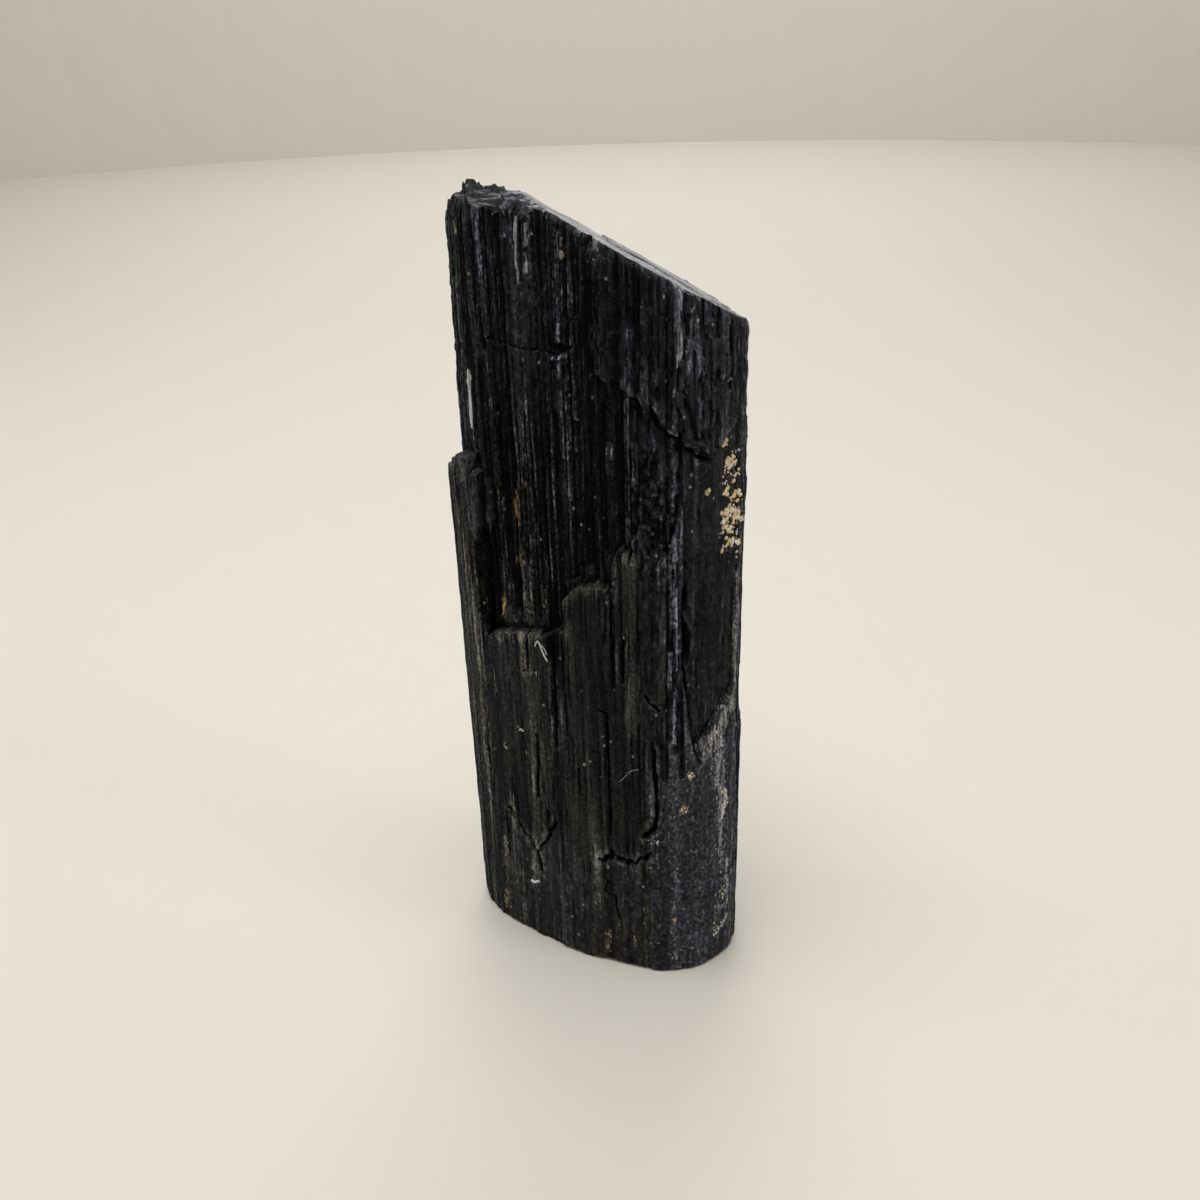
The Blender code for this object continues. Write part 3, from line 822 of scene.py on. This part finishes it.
def crystal_mesh(side):
    """The closed skin: the side, the broken top as rings that close on its middle, and the flat foot."""
    count = SIDE_COLUMNS
    side_points = np.concatenate([side.xy, side.z[..., None]], -1).transpose(1, 0, 2)  # row by row

    rim = side.xy[:, -1]
    shares = np.linspace(1.0, 0.0, CAP_RINGS + 1)[1:-1] ** 0.9
    cap_xy = rim[None] * shares[:, None, None]
    cap = np.concatenate([cap_xy, top_height(cap_xy)[..., None]], -1)
    edge = side.xy[:, 0]
    foot = edge[None] * np.array(FOOT_RINGS)[:, None, None]
    foot = np.concatenate([foot, np.zeros((*foot.shape[:2], 1))], -1)
    centres = np.array([[0.0, 0.0, top_height(np.zeros((1, 2)))[0]], [0.0, 0.0, 0.0]])
    points = np.concatenate([side_points.reshape(-1, 3), cap.reshape(-1, 3), foot.reshape(-1, 3), centres])

    rings = np.arange(len(points) - 2).reshape(-1, count)
    upward = rings[: SIDE_ROWS + 1 + len(cap)]
    downward = np.concatenate([rings[:1], rings[SIDE_ROWS + 1 + len(cap) :]])
    quads = [ring_faces(a, b) for a, b in zip(upward, upward[1:])]
    quads += [ring_faces(b, a) for a, b in zip(downward, downward[1:])]
    centre = len(points) - 2
    triangles = [(a, b, centre) for a, b in zip(upward[-1], np.roll(upward[-1], -1))]
    triangles += [(b, a, centre + 1) for a, b in zip(downward[-1], np.roll(downward[-1], -1))]

    mesh = bpy.data.meshes.new("crystal_fine")
    mesh.from_pydata(points * MM, [], np.concatenate(quads).tolist() + triangles)
    mesh.update()
    map_for_baking(mesh, points, len(side_points) * count, cap[..., 0].size)
    on_crest = ramp(slope_height(cap_xy.reshape(-1, 2)) - CREST_HEIGHT, 2.0)
    for name in LOOKS:
        on_slope_face, on_crest_face, on_foot = END_LOOKS.get(name, (0.0, 0.0, 0.0))
        cap_values = on_slope_face + (on_crest_face - on_slope_face) * on_crest
        ends = [cap_values, np.full(foot[..., 0].size, on_foot), [on_slope_face, on_foot]]
        values = np.concatenate([side.look[name].T.ravel(), *ends])
        attribute = mesh.attributes.new(name, "FLOAT", "POINT")
        attribute.data.foreach_set("value", values.astype(np.float32))
    return mesh


def add_object(name, data):
    """An object with the given mesh, curve, lamp or camera, in the scene."""
    made = bpy.data.objects.new(name, data)
    bpy.context.scene.collection.objects.link(made)
    return made


def baked_modifiers(obj):
    """Replaces an object's mesh by the one its modifiers make."""
    graph = bpy.context.evaluated_depsgraph_get()
    mesh = bpy.data.meshes.new_from_object(obj.evaluated_get(graph))
    obj.modifiers.clear()
    old, obj.data = obj.data, mesh
    bpy.data.meshes.remove(old)


def make_crystal(side):
    """The crystal itself, thinned out where it is smooth."""
    crystal = add_object("crystal", crystal_mesh(side))
    faces = sum(len(p.vertices) - 2 for p in crystal.data.polygons)
    thin = crystal.modifiers.new("thin", "DECIMATE")
    thin.ratio = TRIANGLES / faces
    baked_modifiers(crystal)
    crystal.data.shade_smooth()
    crystal.data.set_sharp_from_angle(angle=CRYSTAL_CREASE)
    crystal.data.materials.append(surface(tourmaline))
    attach(crystal, BODY)
    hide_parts(NODE)


# ---------------- loose crust, lint and hair


# Where grains of crust sit: the centre of a cluster, its spread along s and z, the count and the grain size.
Cluster = namedtuple("Cluster", "s z across up count size")
CLUSTERS = [Cluster(*row) for row in (
    (71, 128.8, 0.4, 0.8, 16, 0.6),
    (72.5, 124.6, 0.7, 0.6, 22, 0.58),
    (71.6, 123.4, 0.4, 0.4, 6, 0.44),
    (74, 121.2, 0.5, 0.6, 7, 0.42),
    (71.5, 120.4, 0.3, 0.4, 4, 0.4),
    (71.6, 118.6, 0.5, 0.5, 10, 0.5),
    (73.6, 117.3, 0.7, 0.7, 22, 0.55),
    (71, 112.3, 0.4, 0.9, 14, 0.52),
    (72.3, 114, 0.9, 0.6, 26, 0.55),
    (74.8, 112.6, 0.5, 0.9, 22, 0.54),
    (73.4, 112.2, 0.9, 0.6, 14, 0.42),
    (72.4, 109.9, 0.5, 0.6, 12, 0.52),
    (74.6, 110, 0.3, 0.6, 4, 0.34),
    (73.3, 107.2, 0.9, 0.6, 22, 0.56),
    (73, 121.8, 1.3, 3, 22, 0.24),
    (73.2, 110, 1.4, 3, 34, 0.24),
    (71.1, 106.3, 0.4, 0.4, 5, 0.38),
    (74.6, 104.2, 0.3, 0.4, 4, 0.34),
    (66.1, 120.1, 0.2, 0.2, 3, 0.4),
    (71, 45, 0.8, 2.6, 12, 0.3),
    (72, 24, 1, 6, 14, 0.28),
    (69.5, 10, 1, 2, 10, 0.3),
    (68.5, 62, 1.6, 2.4, 12, 0.28),
    (21.2, 59, 0.5, 0.3, 5, 0.3),
    (61.9, 55.2, 0.5, 0.4, 6, 0.28),
    (60.3, 46.6, 0.6, 0.6, 6, 0.24),
    (53.5, 38, 1.6, 0.6, 9, 0.24),
    (15.8, 52.8, 0.3, 0.4, 4, 0.28),
)]
GRAIN_SEED = 19
FLATTENING = 0.65  # a grain's thickness as a share of its width
PROUD = 0.1  # how far a grain's middle stands out of the skin, as a share of its size


def make_crust(side):
    """Small faceted lumps of crust, each a closed shape that is sunk a little into the skin."""
    rng = np.random.default_rng(GRAIN_SEED)
    ball = bmesh.new()
    bmesh.ops.create_icosphere(ball, subdivisions=2, radius=1.0)
    shape = np.array([v.co for v in ball.verts])
    triangles = np.array([[v.index for v in face.verts] for face in ball.faces])
    ball.free()
    points, faces = [], []
    for cluster in CLUSTERS:
        for _ in range(cluster.count):
            s = cluster.s + cluster.across * rng.normal()
            z = cluster.z + cluster.up * rng.normal()
            at, outward = side.point(s, z)
            size = cluster.size * rng.uniform(0.5, 1.25)
            lump = shape * (0.85 + 0.35 * noise(shape + rng.uniform(-50, 50, 3), 0.9, 91))[:, None]
            lump = lump * rng.uniform(0.6, 1.2, 3)
            turn = Matrix.Rotation(rng.uniform(0, math.tau), 3, rng.normal(size=3))
            lump = lump @ np.array(turn)
            away = lump @ np.array(outward)
            lump = lump - (1 - FLATTENING) * away[:, None] * np.array(outward)
            faces.append(triangles + sum(len(p) for p in points))
            points.append(np.array(at) + PROUD * size * np.array(outward) + size * lump)
    mesh = bpy.data.meshes.new("crust")
    mesh.from_pydata(np.concatenate(points) * MM, [], np.concatenate(faces).tolist())
    mesh.update()
    crust = add_object("crust", mesh)
    crust.data.shade_smooth()
    crust.data.set_sharp_from_angle(angle=GRAIN_CREASE)
    crust.data.materials.append(surface(crust_stone))
    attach(crust, BODY)


# Fibres that cling to the stone: their (s, z) points, radius and distance from the skin.
Fibre = namedtuple("Fibre", "name line radius lift")
FIBRES = [Fibre(*row) for row in (
    ("lint", [(26.9, 82.4), (27.4, 83.8), (27.9, 84.2), (28.4, 82.8), (28.8, 81.7), (30, 79.9)], 0.17, 0.22),
    ("lint_strand", [(27.9, 84), (28.7, 83.3), (29.3, 82.4), (30.1, 81.4)], 0.1, 0.25),
    ("lint_speck", [(21.3, 16.2), (22.1, 16.4), (23, 16.8), (23.7, 17.2)], 0.32, 0.25),
    ("hair", [(41.9, 53.5), (43.8, 52.4), (46.2, 52.9), (48.2, 55.8), (49.3, 56.9), (50.7, 56.8)], 0.03, 0.2),
)]


def make_fibre(side, fibre, material):
    """A thin closed tube along a smooth curve that lies on the skin."""
    data = bpy.data.curves.new(fibre.name, "CURVE")
    data.dimensions = "3D"
    data.bevel_depth = fibre.radius * MM
    data.bevel_resolution = 2
    data.resolution_u = 5
    data.use_fill_caps = True
    spline = data.splines.new("NURBS")
    spline.points.add(len(fibre.line) - 1)
    for point, (s, z) in zip(spline.points, fibre.line):
        at, outward = side.point(s, z)
        point.co = (*((at + fibre.lift * outward) * MM), 1.0)
    spline.use_endpoint_u = True
    spline.order_u = 3
    made = add_object(fibre.name, data)
    data.materials.append(material)
    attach(made, BODY)


# ---------------- materials


class Term:
    """An output of a shader node; it adds, subtracts and multiplies like a number."""

    def __init__(self, graph, socket):
        self.graph = graph
        self.socket = socket

    def sibling(self, output):
        """Another output of the same node."""
        return Term(self.graph, self.socket.node.outputs[output])

    def __add__(self, other):
        return self.graph.calc("ADD", self, other)

    def __sub__(self, other):
        return self.graph.calc("SUBTRACT", self, other)

    def __rsub__(self, other):
        return self.graph.calc("SUBTRACT", other, self)

    def __mul__(self, other):
        return self.graph.calc("MULTIPLY", self, other)

    __radd__ = __add__
    __rmul__ = __mul__


class Graph:
    """A tree of shader nodes, with a short call for each kind that is used here."""

    def __init__(self, tree):
        self.tree = tree

    def fill(self, node, **inputs):
        """Sets or links the inputs of a node; in their names an underscore stands for a space."""
        for name, value in inputs.items():
            self.feed(node.inputs[name.replace("_", " ")], value)

    def feed(self, socket, value):
        if isinstance(value, Term):
            self.tree.links.new(value.socket, socket)
        else:
            socket.default_value = value

    def node(self, kind, inputs, output=0, **settings):
        made = self.tree.nodes.new(kind)
        for name, value in settings.items():
            setattr(made, name, value)
        for name, value in inputs.items():
            self.feed(made.inputs[name], value)
        return Term(self, made.outputs[output])

    def attribute(self, name):
        return self.node("ShaderNodeAttribute", {}, "Fac", attribute_name=name)

    def place(self, *per_mm):
        """The place on the object in millimetres, times a factor for each axis."""
        coordinates = self.node("ShaderNodeTexCoord", {}, "Object")
        factors = [1000 * factor for factor in per_mm]
        return self.node("ShaderNodeVectorMath", {0: coordinates, 1: factors}, operation="MULTIPLY")

    def noise(self, per_mm, detail=3.0, roughness=0.55, output=0):
        inputs = {"Vector": self.place(*per_mm), "Scale": 1.0, "Detail": detail, "Roughness": roughness}
        return self.node("ShaderNodeTexNoise", inputs, output)

    def calc(self, operation, a, b=0.0):
        return self.node("ShaderNodeMath", {0: a, 1: b}, operation=operation)

    def most(self, a, b):
        return self.calc("MAXIMUM", a, b)

    def spread(self, value, low, high, to_low=0.0, to_high=1.0):
        """A smooth step from one value to another while the input runs from low to high."""
        inputs = {"Value": value, "From Min": low, "From Max": high, "To Min": to_low, "To Max": to_high}
        return self.node("ShaderNodeMapRange", inputs, interpolation_type="SMOOTHSTEP")

    def mix(self, share, a, b, blend="MIX"):
        return self.node("ShaderNodeMix", {0: share, 6: a, 7: b}, 2, data_type="RGBA", blend_type=blend)

    def scale(self, colour, factor):
        return self.node("ShaderNodeVectorMath", {0: colour, "Scale": factor}, operation="SCALE")

    def bump(self, height_mm):
        return self.node("ShaderNodeBump", {"Height": height_mm, "Distance": MM, "Strength": 1.0})


def surface(build):
    """A material named after its function, which builds the inputs of the Principled shader in its graph."""
    material = bpy.data.materials.new(build.__name__)
    material.use_nodes = True
    g = Graph(material.node_tree)
    g.fill(g.tree.nodes["Principled BSDF"], **build(g))
    return material


def grey(level, tint=(1.0, 1.0, 1.0)):
    return tuple(level * part for part in tint) + (1.0,)


# COOL and WARM tint the stone, partly as painted reflection: warm where the lit floor is mirrored, cool where
# a dark room is.
COOL = (0.90, 0.98, 1.34, 1.0)
WARM = (1.12, 1.09, 0.84, 1.0)
HUE_SHARE = 0.35  # how much the colour varies from place to place
CREAM = (0.92, 0.71, 0.40, 1.0)
CHALK = (0.92, 0.88, 0.80, 1.0)
RUST = (0.30, 0.15, 0.05, 1.0)
WHITE = (0.90, 0.91, 0.93, 1.0)
SILVER = (0.50, 0.55, 0.64, 1.0)
GOLD = (0.85, 0.60, 0.25, 1.0)
FLOOR_COLOUR = (0.79, 0.75, 0.675, 1.0)
TOURMALINE_IOR = 1.63
BLACK_STONE = 0.0012
LIGHTEST_STONE = 0.4
DEEP_HOLLOW = (0.45, 0.9)  # the depths in millimetres over which painted shade turns the grooves blackest
END_FACE_TONE = (0.05, 0.11)  # from here on the tone says that this is the sloping end face
NOISE_SPREAD = 0.11  # the standard deviation of the noise nodes' values
CONTRAST = 0.7  # what the streaks, the lines and the grains each add to the spread of the lightness
STRIAE_CONTRAST = 1.3


def tourmaline(g):
    """Black schorl: glossy on the ribs, duller and greyer where it is granular, with painted shade in the
    grooves.
    """
    grain, hollow, tone, gold = (g.attribute(name) for name in ("grain", "hollow", "tone", "gold"))
    end_face = g.spread(tone, *END_FACE_TONE)
    striae = g.noise((0.07, 1.5, 0.04), 4.0, 0.62)
    threads = g.noise((1.5, 1.5, 0.05), 4.0, 0.62)
    sand = g.noise((1.5, 1.5, 1.2), 5.0, 0.68)
    crumbs = g.noise((0.7, 0.7, 0.55), 2.0)
    hues = g.noise((1.1, 1.1, 0.25), 2.0, 0.5, "Color")

    # Thin black lines of painted shade, for hairline cracks, run down the columns, in some stretches more
    # than in others. The end face has none.
    split = g.calc("ABSOLUTE", g.noise((0.8, 0.8, 0.022), 3.0) - 0.5)
    streaky = g.spread(g.noise((0.35, 0.35, 0.05), 2.0), 0.42, 0.56)
    split = g.spread(split, 0.008, 0.045, 1.0, 0.0) * streaky
    split = split * g.spread(grain, 0.2, 0.7, 1.0, 0.25) * (1.0 - end_face)

    # The lightness is random from streak to streak and from grain to grain, and spreads like a log-normal.
    smoothness = 1.0 - grain * 0.75
    streaks = g.attribute("column") * (smoothness * CONTRAST)
    lines = (threads - 0.5) * (CONTRAST / NOISE_SPREAD) * smoothness
    grains = (sand - 0.5) * (CONTRAST / NOISE_SPREAD)
    along = (striae - 0.5) * (end_face * (STRIAE_CONTRAST / NOISE_SPREAD))
    unevenness = streaks + lines + grains + along

    # Painted light: raised edges are lighter, a painted highlight that is partly wear, and grooves and the
    # black lines get painted shade; the deepest grooves are nearly black.
    edges = g.spread(hollow, -0.35, -0.05, 1.1, 0.0)
    gap_shade = g.most(g.spread(hollow, 0.04, 0.35) * g.spread(grain, 0.3, 1.0, 1.0, 0.5), split)
    lift = edges - gap_shade * 2.6 - g.spread(hollow, *DEEP_HOLLOW, 0.0, 2.5)
    albedo = tone * g.calc("EXPONENT", unevenness * g.attribute("vary") + lift)
    blackest = g.spread(hollow, *DEEP_HOLLOW, BLACK_STONE, 0.2 * BLACK_STONE)
    albedo = g.calc("MINIMUM", albedo + blackest, LIGHTEST_STONE)
    # The tint is partly painted reflection: warm low down where the lit floor is mirrored, cool up high.
    tint = g.mix(g.spread(g.attribute("warm"), -1.0, 1.0), COOL, WARM)
    base = g.scale(g.mix(HUE_SHARE, tint, hues, "SOFT_LIGHT"), albedo)

    # Pale marks lie in threads along the columns, in grains where there is crust, and in loose specks. The
    # specks are partly mineral and partly painted glints. Some white and silver threads and grains are
    # painted highlights and sheen.
    fibres = g.noise((2.0, 2.0, 0.12), 3.0, 0.65)
    grit = g.noise((1.7, 1.7, 1.4), 4.0, 0.7)
    cells = g.node("ShaderNodeTexVoronoi", {"Vector": g.place(0.62, 0.62, 0.5), "Scale": 1.0}, "Distance")
    lot = g.node("ShaderNodeSeparateColor", {"Color": cells.sibling("Color")})
    rare = g.spread(grain, 0.2, 1.0, 0.92, 0.78)
    specks = g.spread(cells, 0.10, 0.24, 1.0, 0.0) * g.calc("GREATER_THAN", lot, rare) * 0.8
    threaded = fibres + g.attribute("streak") * 0.75
    grained = grit + g.attribute("crust") * 0.75
    pale = g.most(g.most(g.spread(threaded, 0.93, 1.02), g.spread(grained, 0.93, 1.03)), specks)
    # White is the colour of the white crust and of the painted highlights, and it is not dimmed.
    white = g.spread(gold, -0.9, -0.3, 1.0, 0.0)
    golden = g.most(gold, specks * lot.sibling("Green"))
    pale_colour = g.mix(white, g.mix(golden, SILVER, GOLD), WHITE)
    dulled = g.most(g.spread(sand, 0.35, 0.65, 0.4, 1.0), white)
    base = g.mix(pale, base, g.scale(pale_colour, dulled))

    gloss = 0.20 + grain * 0.36 + g.spread(sand, 0.3, 0.7, -0.05, 0.12) - gap_shade * 0.08
    fine = threads * (g.attribute("ribs") * 0.55 + 0.16)
    coarse = sand * (grain * 0.60 + 0.12)
    rough = crumbs * (grain * 0.5)
    height = (fine + coarse) + (rough + pale * 0.12)
    return dict(Base_Color=base, Roughness=gloss, Normal=g.bump(height - split * 0.15), IOR=TOURMALINE_IOR)


def crust_stone(g):
    """Dull cream and white grains with brown stains."""
    patches = g.noise((0.6, 0.6, 0.6), 2.0)
    stains = g.noise((1.6, 1.6, 1.6), 3.0)
    fine = g.noise((5.0, 5.0, 5.0), 3.0)
    colour = g.mix(g.spread(patches, 0.46, 0.58), CREAM, CHALK)
    colour = g.mix(g.spread(stains, 0.56, 0.72), colour, RUST)
    return dict(Base_Color=colour, Roughness=g.spread(fine, 0.3, 0.7, 0.45, 0.8), Normal=g.bump(fine * 0.12))


def lint_fibre(g):
    """Pale cotton fibre, a little uneven along its length."""
    uneven = g.noise((2.5, 2.5, 2.5), 2.0)
    return dict(Base_Color=g.mix(g.spread(uneven, 0.35, 0.65), grey(0.55), grey(0.8)), Roughness=0.8)


def pale_floor(g):
    return dict(Base_Color=FLOOR_COLOUR, Roughness=1.0)


# ---------------- studio

# The camera stands where the photograph was taken from.
CAMERA_PLACE = (122.7, -200.85, 207.3)
CAMERA_AZIMUTH = 31.7
CAMERA_PITCH = -27.19
CAMERA_ROLL = -1.79
CAMERA_LENS = 36.09
SENSOR = 36.0


def make_camera():
    """The camera at the place and with the lens that were solved from the photograph's perspective."""
    data = bpy.data.cameras.new("camera")
    data.sensor_width = SENSOR
    data.lens = CAMERA_LENS
    data.clip_start = 0.01
    camera = add_object("camera", data)
    turn = Matrix.Rotation(math.radians(CAMERA_AZIMUTH), 4, "Z")
    tilt = Matrix.Rotation(math.radians(90 + CAMERA_PITCH), 4, "X")
    roll = Matrix.Rotation(math.radians(CAMERA_ROLL), 4, "Z")
    camera.matrix_world = Matrix.Translation(Vector(CAMERA_PLACE) * MM) @ turn @ tilt @ roll
    bpy.context.scene.camera = camera


def area_light(name, place, target, size, power):
    """A rectangular light that points at the target; all lengths are in metres."""
    data = bpy.data.lights.new(name, "AREA")
    data.shape = "RECTANGLE"
    data.size, data.size_y = size
    data.energy = power
    light = add_object(name, data)
    light.location = place
    light.rotation_euler = (Vector(place) - Vector(target)).to_track_quat("Z", "Y").to_euler()


STUDIO_TARGET = (0.0, 0.0, 0.09)
BACKDROP_RADIUS = 1.6
BACKDROP_HEIGHT = 1.6
BACKDROP_SIDES = 96

# Tall strip lights far away all round: the azimuth from +X towards +Y, half width, brightness and tint.
# They reach under the horizon, where the upright faces of the crystal mirror them.
Strip = namedtuple("Strip", "azimuth half_width brightness tint")
STRIPS = [Strip(*row) for row in (
    (-165, 4, 0.55, (0.85, 0.93, 1.0)),
    (160, 5, 0.4, (0.85, 0.93, 1.0)),
    (-78, 3, 0.35, (0.85, 0.93, 1.0)),
    (-35, 3, 0.35, (0.85, 0.93, 1.0)),
    (18, 5, 0.6, (0.85, 0.93, 1.0)),
    (105, 22, 1.0, (1.0, 0.98, 0.95)),
)]
STRIP_EDGE = (1.6, 0.6)  # where a strip fades in and where it is full, in half widths from its middle
STRIP_LOW = (-0.75, -0.6)  # sines of the elevation between which the strips fade in at their lower ends
STRIP_HIGH = (0.35, 0.6)  # and fade out at their upper ends
HORIZON = (-0.05, 0.25)  # sines of the elevation where the room's lower half passes into the upper
ROOM_BELOW = grey(0.022, (0.95, 0.97, 1.1))
ROOM_ABOVE = grey(0.06, (0.97, 0.98, 1.0))


def studio_world():
    """The room that the crystal mirrors: dim, darker below, with the strip lights."""
    world = bpy.data.worlds.new("studio")
    world.use_nodes = True
    g = Graph(world.node_tree)
    direction = g.node("ShaderNodeTexCoord", {}, "Generated")
    rise = g.node("ShaderNodeSeparateXYZ", {0: direction}, 2)
    level = g.node("ShaderNodeVectorMath", {0: direction, 1: (1.0, 1.0, 0.0)}, operation="MULTIPLY")
    level = g.node("ShaderNodeVectorMath", {0: level}, operation="NORMALIZE")
    tall = g.spread(rise, *STRIP_LOW) * g.spread(rise, *STRIP_HIGH, 1.0, 0.0)
    light = g.mix(g.spread(rise, *HORIZON), ROOM_BELOW, ROOM_ABOVE)
    for strip in STRIPS:
        turn = math.radians(strip.azimuth)
        facing = (math.cos(turn), math.sin(turn), 0.0)
        towards = g.node("ShaderNodeVectorMath", {0: level, 1: facing}, "Value", operation="DOT_PRODUCT")
        outer, inner = (math.cos(math.radians(share * strip.half_width)) for share in STRIP_EDGE)
        light = g.mix(tall * g.spread(towards, outer, inner), light, grey(strip.brightness, strip.tint))
    g.fill(g.tree.nodes["Background"], Color=light, Strength=1.0)
    return world


def make_studio():
    """A pale floor and backdrop, a soft overhead light, and weaker lights from the left and the right."""
    bpy.ops.mesh.primitive_circle_add(vertices=BACKDROP_SIDES, radius=BACKDROP_RADIUS, fill_type="NGON")
    floor = bpy.context.object
    floor.name = "floor"
    bpy.ops.mesh.primitive_cylinder_add(
        vertices=BACKDROP_SIDES, radius=BACKDROP_RADIUS, depth=BACKDROP_HEIGHT, end_fill_type="NOTHING",
        location=(0, 0, BACKDROP_HEIGHT / 2),
    )
    backdrop = bpy.context.object
    backdrop.name = "backdrop"
    pale = surface(pale_floor)
    for part in (floor, backdrop):
        part.data.materials.append(pale)
        part.visible_glossy = False
    bpy.context.scene.world = studio_world()
    area_light("overhead", (-0.02, -0.08, 0.95), STUDIO_TARGET, (0.6, 0.6), 6.5)
    area_light("far_light", (-0.55, 0.95, 1.0), (-0.55, 0.95, 0.0), (0.9, 0.9), 7.0)
    area_light("left_window", (-0.75, -0.25, 0.32), STUDIO_TARGET, (0.08, 0.5), 0.55)
    area_light("right_window", (0.70, 0.10, 0.35), STUDIO_TARGET, (0.14, 0.5), 0.8)
    bpy.context.scene.view_settings.view_transform = "Standard"


# ---------------- build

side = Side()
make_crystal(side)
make_crust(side)
cotton = surface(lint_fibre)
for fibre in FIBRES:
    make_fibre(side, fibre, cotton)
make_studio()
make_camera()
